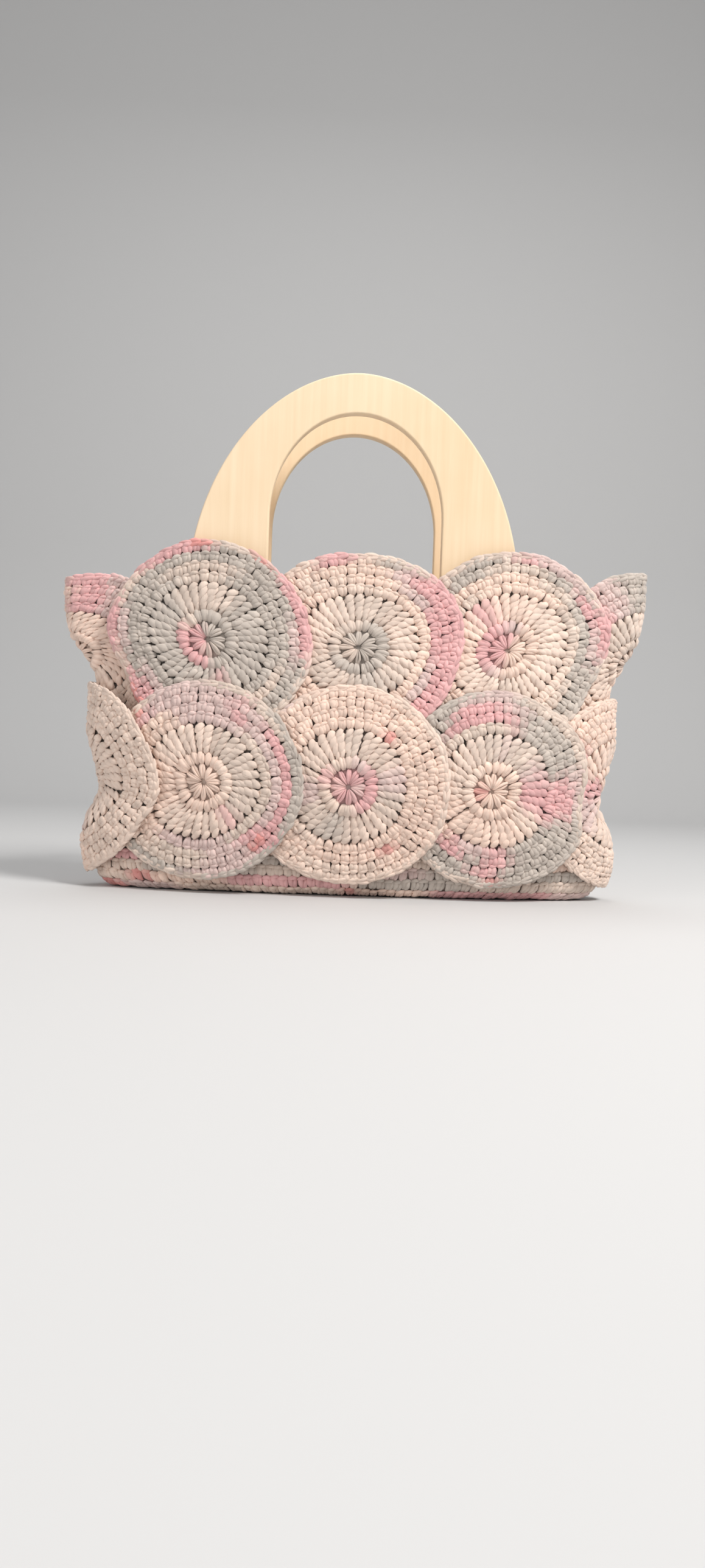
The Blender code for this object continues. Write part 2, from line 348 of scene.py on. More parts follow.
class Wall:
    """The bag's wall as a fine grid of points and normals, read between its points."""

    STEP = 0.0005
    RISE = 0.0015
    TOP = 0.010

    def __init__(self):
        self.columns = round(PERIMETER / self.STEP)
        self.heights = np.arange(0, BODY_HEIGHT + self.TOP, self.RISE)
        along = np.arange(self.columns) * self.STEP
        self.points = np.zeros((self.columns, len(self.heights), 3))
        for row, height in enumerate(self.heights):
            half_width = section_value("half_width", height) * QUARTER
            half_depth = section_value("half_depth", height) * QUARTER
            x, y = section_points(along / PERIMETER, half_width, half_depth)
            self.points[:, row] = np.stack([x, y, height - slack(along, height)], axis=1)
        right = np.roll(self.points, -2, axis=0) - np.roll(self.points, 2, axis=0)
        up = np.gradient(self.points, axis=1)
        normals = np.cross(right, up)
        self.normals = normals / np.linalg.norm(normals, axis=2, keepdims=True)

    def at(self, along, height, outward):
        """Points of the wall at lengths round it and heights, moved outward along its normal."""
        column = (along / self.STEP) % self.columns
        row = np.clip(height / self.RISE, 0, len(self.heights) - 1.001)
        left, low = column.astype(int), row.astype(int)
        fx, fy = (column - left)[:, None], (row - low)[:, None]
        left %= self.columns
        after = (left + 1) % self.columns

        def mix(grid):
            below = grid[left, low] * (1 - fx) + grid[after, low] * fx
            above = grid[left, low + 1] * (1 - fx) + grid[after, low + 1] * fx
            return below * (1 - fy) + above * fy

        normal = mix(self.normals)
        normal /= np.linalg.norm(normal, axis=1, keepdims=True)
        return mix(self.points) + normal * outward[:, None]


def lean(column, upper, right, up):
    """How far a circle lies out from the wall at offsets from its middle."""
    sideways = right
    if upper and column == TUCKED:
        tuck = np.clip((right - TUCK_START) / (TUCK_END - TUCK_START), 0, 1)
        sideways = right - 2 * SPACING * tuck * tuck * (3 - 2 * tuck)
    return LEAN_ROUND * sideways + LEAN_UP * up


def circle_centre(column, upper):
    """A circle's middle, as a length round the bag and a height."""
    if upper:
        return column * SPACING, UPPER_ROW
    return column * SPACING + LOWER_ROW_SHIFT, LOWER_ROW


class Circle:
    """One medallion: where it is, what lies over it, and the way from its own plane to the wall."""

    def __init__(self, name, column, upper):
        self.name = name
        self.column = column
        self.upper = upper
        self.along, self.height = circle_centre(column, upper)

    def place(self, radius, turn, outward):
        """Points of the wall at polar places in millimetres from the middle, and outward in millimetres."""
        right = radius * np.cos(turn) * HALF_WIDTH / NOMINAL
        up = radius * np.sin(turn) * HALF_HEIGHT / NOMINAL
        out = outward * MM + lean(self.column, self.upper, right, up)
        return wall.at(self.along + right, self.height + up, out)

    def covers(self):
        """The circles that lie over this one, as offsets to their middles."""
        over = []
        if not (self.upper and self.column == TUCKED + 1):
            over.append((-SPACING, 0))
        if self.upper:
            over.append((LOWER_ROW_SHIFT, -ROW_SPACING))
            if self.column == TUCKED:
                over.append((SPACING, 0))
        return over

    def shown(self, radius, turn, margin):
        """Whether places are clear of the circles over this one, or within a margin inside their edges."""
        right = radius * np.cos(turn) * HALF_WIDTH / NOMINAL
        up = radius * np.sin(turn) * HALF_HEIGHT / NOMINAL
        clear = np.ones(np.shape(radius), bool)
        for across, rise in self.covers():
            away = np.hypot((right - across) / HALF_WIDTH, (up - rise) / HALF_HEIGHT)
            clear &= away > 1 - margin / NOMINAL
        return clear


# Yarn

SIDES = 6
RINGS = 5
TIP_REACH = 0.6  # from a tip to the first ring, where rings are 1 apart
TURNS = np.radians((0, 45, 90, 135, 180, 270))  # points round a lobe: more on the side that shows


def lobe_faces():
    """Triangles of one lobe: a tip, RINGS rings of SIDES points, and a tip, with the UV of each corner."""
    faces, corners = [], []
    point = lambda ring, side: 1 + ring * SIDES + side % SIDES
    last = 1 + RINGS * SIDES
    at = lambda ring, side: (side / SIDES, (ring + 1) / (RINGS + 1))
    for side in range(SIDES):
        faces.append((0, point(0, side + 1), point(0, side)))
        corners.append(((side / SIDES + 0.5 / SIDES, 0), at(0, side + 1), at(0, side)))
        for ring in range(RINGS - 1):
            a, b = point(ring, side), point(ring, side + 1)
            c, d = point(ring + 1, side + 1), point(ring + 1, side)
            faces += [(a, b, c), (a, c, d)]
            corners.append((at(ring, side), at(ring, side + 1), at(ring + 1, side + 1)))
            corners.append((at(ring, side), at(ring + 1, side + 1), at(ring + 1, side)))
        faces.append((last, point(RINGS - 1, side), point(RINGS - 1, side + 1)))
        corners.append(((side / SIDES + 0.5 / SIDES, 1), at(RINGS - 1, side), at(RINGS - 1, side + 1)))
    return np.array(faces), np.array(corners)


LOBE_FACES, LOBE_UV = lobe_faces()
LOBE_POINTS = 2 + RINGS * SIDES


def lobe_points(controls, widths, depths, swell_late, random):
    """Points of lobes along cubic curves. controls is (n, 4, 3): across, up and out, in millimetres.

    widths and depths are half sizes in the plane of the fabric and across it. A lobe is widest halfway
    along, or later where swell_late is above 1.
    """
    t = (np.arange(RINGS) + TIP_REACH) / (RINGS - 1 + 2 * TIP_REACH)
    t = np.concatenate([[0], t, [1]])
    basis = np.stack([(1 - t) ** 3, 3 * t * (1 - t) ** 2, 3 * t**2 * (1 - t), t**3], axis=1)
    middle = 6 * t * (1 - t)
    slope = np.stack([-3 * (1 - t) ** 2, 3 * (1 - t) ** 2 - middle, middle - 3 * t**2, 3 * t**2], axis=1)
    centre = np.einsum("rc,ncd->nrd", basis, controls)
    along = np.einsum("rc,ncd->nrd", slope, controls)
    along /= np.linalg.norm(along, axis=2, keepdims=True) + 1e-9
    side = np.stack([along[..., 1], -along[..., 0], np.zeros_like(along[..., 0])], axis=2)
    side /= np.linalg.norm(side, axis=2, keepdims=True) + 1e-9
    out = np.cross(side, along)
    late = t**swell_late
    swell = (4 * late * (1 - late)) ** SWELL_FULLNESS
    ring_side = side[:, 1:-1, None] * (swell[1:-1, None] * np.cos(TURNS))[None, :, :, None]
    ring_out = out[:, 1:-1, None] * (swell[1:-1, None] * np.sin(TURNS))[None, :, :, None]
    around = ring_side * widths[:, None, None, None] + ring_out * depths[:, None, None, None]
    around *= 1 + random.normal(0, CRINKLE, (len(controls), RINGS, SIDES, 1))
    rings = centre[:, 1:-1, None] + around
    rings = rings.reshape(len(controls), RINGS * SIDES, 3)
    return np.concatenate([centre[:, :1], rings, centre[:, -1:]], axis=1)


# Lobes of each kind of stitch: start, two bends, end, half width, half depth, and how late it swells.
# Places are across as a share of the stitch's width, up as a share of the round's height, and out in
# millimetres. Half sizes are in millimetres.
STITCHES = {
    "spoke": (
        ((-0.06, 0.02, 0.1), (-0.34, 0.34, 1.7), (-0.36, 0.72, 1.9), (0.02, 1.06, -0.7), 1.10, 1.10, 1.1),
        ((0.10, 0.00, 0.1), (0.22, 0.34, 1.5), (0.30, 0.66, 1.7), (0.12, 1.02, -0.7), 0.95, 1.00, 1.0),
    ),
    "short": (
        ((0.00, -0.08, -1.0), (-0.14, 0.22, 1.6), (-0.18, 0.68, 2.1), (0.04, 1.05, -0.8), 1.95, 1.25, 1.2),
        ((0.12, -0.06, -1.0), (0.28, 0.22, 1.4), (0.42, 0.52, 1.6), (0.26, 0.94, -0.7), 1.40, 1.10, 1.1),
    ),
    "tall": (
        ((0.00, -0.14, -1.2), (-0.02, 0.10, 0.6), (0.02, 0.80, 0.7), (0.00, 1.02, -0.5), 2.85, 0.95, 1.0),
        ((-0.16, -0.12, -0.8), (-0.26, 0.00, 1.2), (0.10, 0.18, 1.4), (0.30, 0.42, 0.2), 1.95, 0.85, 1.0),
        ((-0.40, 0.08, -0.1), (-0.30, 0.20, 1.5), (0.10, 0.42, 1.5), (0.36, 0.64, 0.2), 2.25, 0.85, 1.0),
        ((-0.42, 0.34, -0.1), (-0.30, 0.44, 1.5), (0.12, 0.68, 1.6), (0.38, 0.88, 0.2), 2.35, 0.85, 1.0),
        ((-0.46, 0.62, -0.1), (-0.30, 0.74, 1.7), (0.08, 0.90, 1.8), (0.40, 1.00, -0.2), 2.25, 1.00, 1.0),
    ),
    "single": (
        ((0.00, -0.18, -1.2), (-0.12, 0.14, 1.1), (-0.20, 0.60, 2.0), (-0.12, 1.04, -0.4), 2.20, 1.25, 1.5),
        ((0.12, -0.16, -1.2), (0.22, 0.14, 1.1), (0.36, 0.46, 1.8), (0.34, 0.90, -0.3), 1.70, 1.20, 1.35),
        ((-0.62, 0.66, -0.4), (-0.22, 0.96, 1.6), (0.22, 1.00, 1.6), (0.58, 0.78, -0.4), 1.50, 1.15, 1.0),
    ),
    "chain": (
        ((-0.80, 0.50, -0.4), (-0.30, 0.60, 1.3), (0.30, 0.30, 1.7), (0.86, -0.10, 0.5), 1.45, 0.95, 1.0),
        ((-0.84, -1.15, -0.2), (-0.3, -1.0, 1.5), (0.30, -0.45, 1.8), (0.84, -0.05, 0.5), 1.55, 0.95, 1.0),
    ),
}
SWELL_FULLNESS = 0.34
LOOSENESS = 0.30  # millimetres that a bend wanders
END_LOOSENESS = 0.5  # of that at a lobe's ends
STRAY = 0.30  # millimetres that a whole stitch wanders, across and up
STRAY_AXES = (1, 1, 0.5)
UV_SHIFT = 40  # so that no two lobes have the same fibres
PLUMPNESS_SPREAD = 0.09
CRINKLE = 0.075  # of a lobe's half size at each point
LAYERS_MARGIN = 3.5  # millimetres of a circle that are still worked under another


class Yarn:
    """Gathers lobes and sheets of one piece and makes its mesh."""

    def __init__(self, seed):
        self.random = np.random.default_rng(seed)
        self.points, self.faces, self.uvs, self.colours = [], [], [], []
        self.count = 0

    def add(self, points, faces, uvs, colours):
        self.points.append(points)
        self.faces.append(faces + self.count)
        self.uvs.append(uvs)
        self.colours.append(colours)
        self.count += len(points)

    def add_lobes(self, places, colours):
        """places is (n, LOBE_POINTS, 3) in the row frame, colours is (n, 3)."""
        number = len(places)
        starts = np.arange(number)[:, None, None] * LOBE_POINTS
        faces = (LOBE_FACES[None] + starts).reshape(-1, 3)
        shift = self.random.uniform(0, UV_SHIFT, (number, 1, 1, 2)).round(2)
        uvs = (LOBE_UV[None] + shift).reshape(-1, 2)
        self.add(places.reshape(-1, 3), faces, uvs, np.repeat(colours, LOBE_POINTS, axis=0))

    def stitches(self, kind, width, height, number):
        """Lobes of a number of stitches: their points in each stitch's own frame, in millimetres."""
        made = []
        stray = self.random.normal(0, STRAY, (number, 1, 3)) * STRAY_AXES
        for start, bend_1, bend_2, end, half_width, half_depth, swell_late in STITCHES[kind]:
            controls = np.array([start, bend_1, bend_2, end]) * (width, height, 1)
            controls = np.repeat(controls[None], number, axis=0)
            wander = self.random.normal(0, LOOSENESS, controls.shape)
            wander[:, (0, 3)] *= END_LOOSENESS
            plump = 1 + self.random.normal(0, PLUMPNESS_SPREAD, (2, number))
            widths, depths = half_width * plump[0], half_depth * plump[1]
            made.append(lobe_points(controls + stray + wander, widths, depths, swell_late, self.random))
        return made

    def object(self, name, material):
        points = np.concatenate(self.points)
        faces = np.concatenate(self.faces)
        mesh = bpy.data.meshes.new(name)
        mesh.vertices.add(len(points))
        mesh.vertices.foreach_set("co", points.astype(np.float32).ravel())
        mesh.loops.add(faces.size)
        mesh.loops.foreach_set("vertex_index", faces.astype(np.int32).ravel())
        mesh.polygons.add(len(faces))
        mesh.polygons.foreach_set("loop_start", np.arange(len(faces), dtype=np.int32) * 3)
        mesh.update(calc_edges=True)
        layer = mesh.uv_layers.new(name="strand")
        layer.uv.foreach_set("vector", np.concatenate(self.uvs).astype(np.float32).ravel())
        colours = np.concatenate(self.colours)
        painted = mesh.color_attributes.new("yarn", "FLOAT_COLOR", "POINT")
        opaque = np.concatenate([colours, np.ones((len(colours), 1))], axis=1)
        painted.data.foreach_set("color", opaque.astype(np.float32).ravel())
        mesh.shade_smooth()
        mesh.materials.append(material)
        made = bpy.data.objects.new(name, mesh)
        bpy.context.scene.collection.objects.link(made)
        return made


# Colours of the stitches

RUN_END_SPREAD = 2.2  # degrees that the ends of a run wander
BLEND = 0.42  # of the colours beside it in a stitch's colour
BLEND_SPREAD = 0.16
BLEND_LIMITS = (0.1, 0.8)
SPOT_BLEND = 0.1  # the same for the coral spots
STITCH_SPREAD = 0.045  # of the light of each stitch
LOBE_SPREAD = 0.035  # and of each lobe
LOBE_MIX = 0.22  # of a neighbour's colour in a lobe's


def chart_colours(chart, turns):
    """Names of the colours of a chart's round at angles, in degrees."""
    starts = [start % 360 for start, colour in chart]
    order = sorted(range(len(chart)), key=lambda run: starts[run])
    knots = [starts[run] for run in order]
    names = [chart[run][1] for run in order]
    return [names[int(np.searchsorted(knots, turn % 360, side="right")) - 1] for turn in turns]


def run_colours(first, number):
    """Names of the colours of a number of stitches along the yarn."""
    names = [colour for colour, stitches in YARN_RUNS for _ in range(stitches)]
    return [names[(first + stitch) % len(names)] for stitch in range(number)]


def stitch_light(names, random):
    """Linear colours of stitches, which run into each other and differ a little in light."""
    base = linear(np.array([YARN[name] for name in names]))
    spot = np.array([name == "coral" for name in names])[:, None]
    beside = (np.roll(base, 1, axis=0) + np.roll(base, -1, axis=0)) / 2
    share = np.clip(random.normal(BLEND, BLEND_SPREAD, (len(names), 1)), *BLEND_LIMITS)
    share = np.where(spot, SPOT_BLEND, share)
    base = base * (1 - share) + beside * share
    return base * (1 + random.normal(0, STITCH_SPREAD, (len(names), 1)))


def lobe_light(light, random):
    """Colours of one lobe of each stitch: the stitch's own, mixed a little with its neighbours'."""
    beside = np.roll(light, random.choice((-1, 1)), axis=0)
    share = np.abs(random.normal(0, LOBE_MIX, (len(light), 1)))
    return (light * (1 - share) + beside * share) * (1 + random.normal(0, LOBE_SPREAD, (len(light), 1)))


# Circles

YARN_STARTS = 1000  # stitches along the yarn at which a circle may begin
TALL_YARN = 2  # a tall stitch takes twice the yarn
SPREAD_RADIUS = 3  # millimetres within which lobes no longer narrow towards the middle
LEAST_RADIUS = 0.3
ROUND_OVERLAP = 1.3  # millimetres that a round's colour reaches inwards on the sheet
SHEET_TURN_UV, SHEET_RADIUS_UV = 12, 7.0
BACKING_IN, BACKING_OUT = -2.1, -0.7
BACKING_SECTORS = 72
BACKING_RADII = (0, 9, 18, 26, 33, 40, 46, 52, 57, 61, 64.5)
HUB_FILLED = 10  # millimetres within which the spokes hide the sheet
# Painted shade: the outer sheet behind the stitches is darkened to 0.16 of its yarn's colour, so the holes
# look deep.
BACKING_PAINTED_SHADE = 0.16  # seen only through the holes between stitches
# Painted shade: the inner sheet, the inside of the bag, is darkened a little to 0.85 of its yarn's colour.
INSIDE_PAINTED_SHADE = 0.85


def add_backing(yarn, circle, colour_at):
    """The closed sheet behind the lobes, which is the inside of the fabric, darkened with painted shade."""
    radii = np.array(BACKING_RADII[1:])
    turn = np.arange(BACKING_SECTORS) * 2 * math.pi / BACKING_SECTORS
    grid_radius, grid_turn = (a.ravel() for a in np.meshgrid(radii, turn, indexing="ij"))
    flat_radius = np.concatenate([[0], grid_radius])
    flat_turn = np.concatenate([[0], grid_turn])
    points, faces = [], []
    size = len(flat_radius)
    at = lambda ring, sector: 1 + ring * BACKING_SECTORS + sector % BACKING_SECTORS
    for layer, out in enumerate((BACKING_OUT, BACKING_IN)):
        points.append(circle.place(flat_radius, flat_turn, np.full(size, out)))
        sheet = []
        for sector in range(BACKING_SECTORS):
            sheet.append((0, at(0, sector), at(0, sector + 1)))
            for ring in range(len(radii) - 1):
                a, b = at(ring, sector), at(ring + 1, sector)
                c, d = at(ring + 1, sector + 1), at(ring, sector + 1)
                sheet += [(a, b, c), (a, c, d)]
        sheet = np.array(sheet)
        faces.append(sheet + layer * size if layer == 0 else sheet[:, ::-1] + size)
    edge = []
    for sector in range(BACKING_SECTORS):
        a, b = at(len(radii) - 1, sector), at(len(radii) - 1, sector + 1)
        edge += [(a, a + size, b + size), (a, b + size, b)]
    faces = np.concatenate(faces + [np.array(edge)])
    points = np.concatenate(points)
    both_radius = np.concatenate([flat_radius, flat_radius])
    both_turn = np.concatenate([flat_turn, flat_turn])
    uv = np.stack([both_turn * SHEET_TURN_UV, both_radius / SHEET_RADIUS_UV], axis=1)
    # Painted shade: the outer sheet is dark where the holes show it, and the inner sheet is a little darker
    # than the yarn.
    shade = np.repeat([BACKING_PAINTED_SHADE, INSIDE_PAINTED_SHADE], size)[:, None]
    # Within the hub the outer sheet takes this milder painted shade instead of the dark one.
    shade[both_radius < HUB_FILLED] = INSIDE_PAINTED_SHADE
    yarn.add(points, faces, uv[faces].reshape(-1, 2), colour_at(both_radius, both_turn) * shade)


def add_circle(circle, seed, material):
    yarn = Yarn(seed)
    chart = CHARTS.get(circle.name)
    first = int(yarn.random.integers(0, YARN_STARTS))
    round_light = []
    for name, kind, number, inner, outer in ROUNDS:
        half_on = 0.5 * (number % 4 == 2)  # rounds alternate, so that their holes don't line up
        turns = (np.arange(number) + half_on) * 2 * math.pi / number
        if chart:
            wander = yarn.random.normal(0, RUN_END_SPREAD, number)
            runs = chart.get(name) or chart["inside" if inner < OUTER_ROUNDS else "outside"]
            names = chart_colours(runs, np.degrees(turns) + wander)
        else:
            names = run_colours(first, number)
            first += number * (TALL_YARN if kind == "tall" else 1)
        light = stitch_light(names, yarn.random)
        round_light.append(light)
        width = 2 * math.pi * (inner + outer) / 2 / number
        height = outer - inner
        middle = (inner + outer) / 2
        shown = circle.shown(np.full(number, middle), turns, LAYERS_MARGIN)
        for lobes in yarn.stitches(kind, width, height, number):
            across, up, out = lobes[shown].transpose(2, 0, 1)
            radius = inner + up
            turn = turns[shown, None] - across / np.maximum((radius + middle) / 2, SPREAD_RADIUS)
            places = circle.place(np.maximum(radius, LEAST_RADIUS).ravel(), turn.ravel(), out.ravel())
            yarn.add_lobes(places.reshape(-1, LOBE_POINTS, 3), lobe_light(light, yarn.random)[shown])

    def colour_at(radius, turn):
        result = np.zeros((len(radius), 3))
        for (name, kind, number, inner, outer), light in zip(ROUNDS, round_light):
            inside = radius >= inner - ROUND_OVERLAP
            stitch = (turn / (2 * math.pi) * number).astype(int) % number
            result[inside] = light[stitch[inside]]
        return result

    add_backing(yarn, circle, colour_at)
    piece = yarn.object(circle.name.replace("medallion", "crochet"), material)
    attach(piece, "root")
    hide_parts(circle.name)
    return piece


def circles():
    made = []
    for row_name, upper in (("lower", False), ("upper", True)):
        for place, column in (("left", -1), ("middle", 0), ("right", 1)):
            made.append(Circle(f"medallion_front_{row_name}_{place}", column, upper))
            made.append(Circle(f"medallion_back_{row_name}_{place}", column + HALF_TURN, upper))
        made.append(Circle(f"medallion_side_{row_name}_right", HALF_TURN // 2, upper))
        made.append(Circle(f"medallion_side_{row_name}_left", -(HALF_TURN // 2), upper))
    return made


# Base

BASE_ROWS = 5
BASE_STITCHES = 122
BASE_ROUND_HEIGHT = 7.0
BASE_FIRST_ROUND = 2.0  # millimetres up the rim's profile
BASE_LENGTH_SHARE = 0.90  # of the length round the bag
BASE_SEED = 900
BASE_FIRST_STITCH = 60
BASE_SHEET_OUT, BASE_SHEET_IN = -0.6, -2.0
BASE_SHEET_LENGTHS = (0, 4, 8, 12, 16, 24, 32, 40.0)  # millimetres up the rim's profile
BASE_SHEET_SECTORS = 160
BASE_FLOOR_RINGS = 6
BASE_FLOOR_LEAST = 0.02  # size of the innermost ring of the floor
BASE_SHEET_LOWEST = 0.0002
BASE_SHEET_UV = 150
# Painted shade: the tray behind the base's stitches is the beige yarn darkened to 0.8.
BASE_SHEET_PAINTED_SHADE = 0.8
BASE_OUT = 0.4  # millimetres from the fabric's middle to the lobes' own zero


def base_profile(height_mm):
    """Inset from the wall and outward lean of the rim at a length up its profile, in metres."""
    inset = BASE_INSET + WALL / 2
    quarter = BASE_ROUNDING * math.pi / 2
    length = height_mm * MM
    bend = np.clip(length / quarter, 0, 1) * math.pi / 2
    inward = inset + BASE_ROUNDING * (1 - np.sin(bend))
    height = WALL / 2 + BASE_ROUNDING * (1 - np.cos(bend)) + np.maximum(length - quarter, 0)
    return inward, height, bend


class BaseWall:
    """The base's rim as a grid of points and normals, by share of the way round and length up."""

    STEPS = 1200
    LENGTH = 44.0
    RISE = 0.5

    def __init__(self):
        self.lengths = np.arange(0, self.LENGTH, self.RISE)
        shares = np.arange(self.STEPS) / self.STEPS
        inward, height, bend = base_profile(self.lengths)
        self.points = np.zeros((self.STEPS, len(self.lengths), 3))
        for row in range(len(self.lengths)):
            half_width = section_value("half_width", height[row]) * QUARTER - inward[row]
            half_depth = section_value("half_depth", height[row]) * QUARTER - inward[row]
            x, y = section_points(shares, half_width, half_depth)
            self.points[:, row] = np.stack([x, y, np.full_like(x, height[row])], axis=1)
        right = np.roll(self.points, -4, axis=0) - np.roll(self.points, 4, axis=0)
        up = np.gradient(self.points, axis=1)
        normals = np.cross(right, up)
        self.normals = normals / np.linalg.norm(normals, axis=2, keepdims=True)

    def at(self, share, length, outward):
        column = (share % 1) * self.STEPS
        row = np.clip(length / self.RISE, 0, len(self.lengths) - 1.001)
        left, low = column.astype(int) % self.STEPS, row.astype(int)
        fx, fy = (column - np.floor(column))[:, None], (row - low)[:, None]
        after = (left + 1) % self.STEPS

        def mix(grid):
            below = grid[left, low] * (1 - fx) + grid[after, low] * fx
            above = grid[left, low + 1] * (1 - fx) + grid[after, low + 1] * fx
            return below * (1 - fy) + above * fy

        return mix(self.points) + mix(self.normals) * (outward * MM)[:, None]


def add_base(material):
    yarn = Yarn(BASE_SEED)
    rim = BaseWall()
    width = PERIMETER * BASE_LENGTH_SHARE / MM / BASE_STITCHES
    height = BASE_ROUND_HEIGHT
    first = BASE_FIRST_STITCH
    for row in range(BASE_ROWS):
        shares = (np.arange(BASE_STITCHES) + 0.5 * (row % 2)) / BASE_STITCHES
        light = stitch_light(run_colours(first, BASE_STITCHES), yarn.random)
        first += BASE_STITCHES
        for lobes in yarn.stitches("single", width, height, BASE_STITCHES):
            across, up, out = lobes.transpose(2, 0, 1)
            share = shares[:, None] + across / width / BASE_STITCHES
            length = row * height + up + BASE_FIRST_ROUND
            places = rim.at(share.ravel(), length.ravel(), (out + BASE_OUT).ravel())
            places[:, 2] = np.maximum(places[:, 2], 0)
            yarn.add_lobes(places.reshape(-1, LOBE_POINTS, 3), lobe_light(light, yarn.random))
    add_base_shell(yarn, rim)
    piece = yarn.object("crochet_base", material)
    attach(piece, "root")
    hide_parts("base")
    return piece


def add_base_shell(yarn, rim):
    """The closed tray behind the lobes of the rim, with its flat bottom, in beige yarn darkened as painted
    shade.
    """
    sectors = BASE_SHEET_SECTORS
    shares = np.arange(sectors) / sectors
    rings = []
    for out, order in ((BASE_SHEET_OUT, 1), (BASE_SHEET_IN, -1)):
        for length in BASE_SHEET_LENGTHS[::order]:
            rings.append(rim.at(shares, np.full(sectors, length), np.full(sectors, out)))
    scales = np.linspace(1, BASE_FLOOR_LEAST, BASE_FLOOR_RINGS)[1:]
    inner_floor = [rings[-1] * (scale, scale, 1) for scale in scales]
    outer_floor = [rings[0] * (scale, scale, 1) for scale in scales[::-1]]
    rings = outer_floor + rings + inner_floor
    points = np.concatenate(rings)
    points[:, 2] = np.maximum(points[:, 2], BASE_SHEET_LOWEST)
    faces = []
    for ring in range(len(rings) - 1):
        for sector in range(sectors):
            a, b = ring * sectors + sector, ring * sectors + (sector + 1) % sectors
            faces += [(a, b, b + sectors), (a, b + sectors, a + sectors)]
    last = (len(rings) - 1) * sectors
    for sector in range(1, sectors - 1):
        faces.append((0, sector + 1, sector))
        faces.append((last, last + sector, last + sector + 1))
    faces = np.array(faces)
    uv = points[:, :2] * BASE_SHEET_UV
    # Painted shade: the tray's beige is darkened so the gaps between the rim's stitches look shaded.
    colour = linear(np.array(YARN["beige"]))[None].repeat(len(points), axis=0) * BASE_SHEET_PAINTED_SHADE
    yarn.add(points, faces, uv[faces].reshape(-1, 2), colour)


# Handles

HANDLE_HALF_WIDTH = 0.110
ARCH_HEIGHT = 0.150
FOOT_HEIGHT = 0.020
FOOT_CORNER = 0.014
ARCH_FULLNESS = 1.9
GRIP_HALF_WIDTH = 0.0572
CROWN_WIDTH = 0.0265
GRIP_ARCH_HEIGHT = 0.069
BAR_HEIGHT = 0.020
GRIP_CORNER = 0.016
HANDLE_THICKNESS = 0.008
HANDLE_EDGE_RADIUS = 0.0011
HANDLE_STATIONS = 288
HANDLE_CENTRE_RISE = 0.004  # of the sections' middle over the opening's widest line
CORNER_STEPS = 12
ARCH_STEPS = 361
GRIP_STEPS = 241
OUTLINE_STEPS = 6000
EDGE_STEPS = 5
EDGE_EASE = 0.0006  # from a rounded edge to the next line of points on a face


def corner(x, z, radius, quarter):
    """A quarter circle, clockwise, at the lower right for quarter 0 and the lower left for quarter 1."""
    turns = [-math.pi / 2 * (quarter + step / CORNER_STEPS) for step in range(CORNER_STEPS + 1)]
    return [(x + radius * math.cos(turn), z + radius * math.sin(turn)) for turn in turns]


def arch_outline():
    points = []
    for turn in np.linspace(0, math.pi, ARCH_STEPS):
        across = -math.cos(turn)
        side = math.copysign(abs(across) ** (2 / ARCH_FULLNESS), across)
        points.append((HANDLE_HALF_WIDTH * side, ARCH_HEIGHT * (math.sin(turn) - 1)))
    foot = -(ARCH_HEIGHT + FOOT_HEIGHT)
    points += corner(HANDLE_HALF_WIDTH - FOOT_CORNER, foot + FOOT_CORNER, FOOT_CORNER, 0)
    points += corner(FOOT_CORNER - HANDLE_HALF_WIDTH, foot + FOOT_CORNER, FOOT_CORNER, 1)
    return np.array(points)


def grip_outline():
    points = []
    widest = -(CROWN_WIDTH + GRIP_ARCH_HEIGHT)
    for turn in np.linspace(0, math.pi, GRIP_STEPS):
        points.append((-GRIP_HALF_WIDTH * math.cos(turn), widest + GRIP_ARCH_HEIGHT * math.sin(turn)))
    bottom = BAR_HEIGHT - ARCH_HEIGHT - FOOT_HEIGHT
    points += corner(GRIP_HALF_WIDTH - GRIP_CORNER, bottom + GRIP_CORNER, GRIP_CORNER, 0)
    points += corner(GRIP_CORNER - GRIP_HALF_WIDTH, bottom + GRIP_CORNER, GRIP_CORNER, 1)
    return np.array(points)


def polar_outline(points, centre, turns):
    """The outline's distance from a centre at angles."""
    closed = np.concatenate([points, points[:1]])
    reached = np.concatenate([[0], np.cumsum(np.hypot(*np.diff(closed, axis=0).T))])
    wanted = np.linspace(0, reached[-1], OUTLINE_STEPS)
    away = np.stack([np.interp(wanted, reached, closed[:, side]) for side in (0, 1)], axis=1) - centre
    angle = np.arctan2(away[:, 1], away[:, 0]) % (2 * math.pi)
    order = np.argsort(angle)
    reach = np.hypot(away[:, 0], away[:, 1])
    return np.interp(turns, angle[order], reach[order], period=2 * math.pi)


